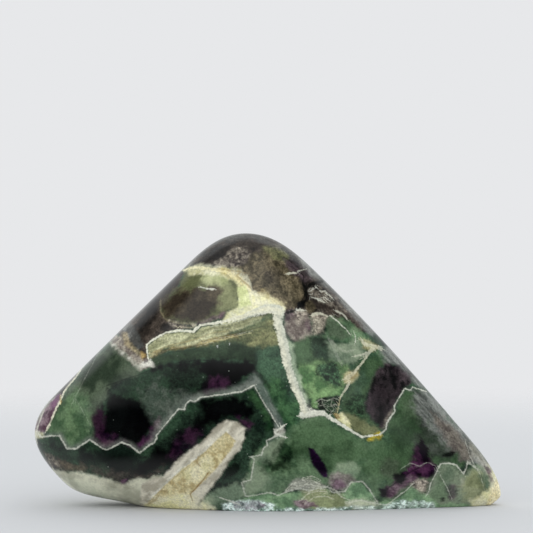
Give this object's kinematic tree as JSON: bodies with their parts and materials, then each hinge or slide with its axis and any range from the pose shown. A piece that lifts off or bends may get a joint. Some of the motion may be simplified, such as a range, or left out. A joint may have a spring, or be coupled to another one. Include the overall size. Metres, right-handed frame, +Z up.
{
  "type": "polished fluorite freeform",
  "caption": "Polished triangular freeform of green and purple banded fluorite with pale chevron veins, standing upright on a flat ground base.",
  "frame": {"origin": "middle of the stone's box, on the plane of its flat base", "axes": "+Z up from the base, +X towards the low pointed tip, -Y out of the patterned front face"},
  "size_m": [0.1002, 0.0286, 0.0584],
  "materials": {
    "fluorite": "polished"
  },
  "bodies": {
    "root": {"fluorite_freeform": "fluorite"}
  },
  "joints": []
}
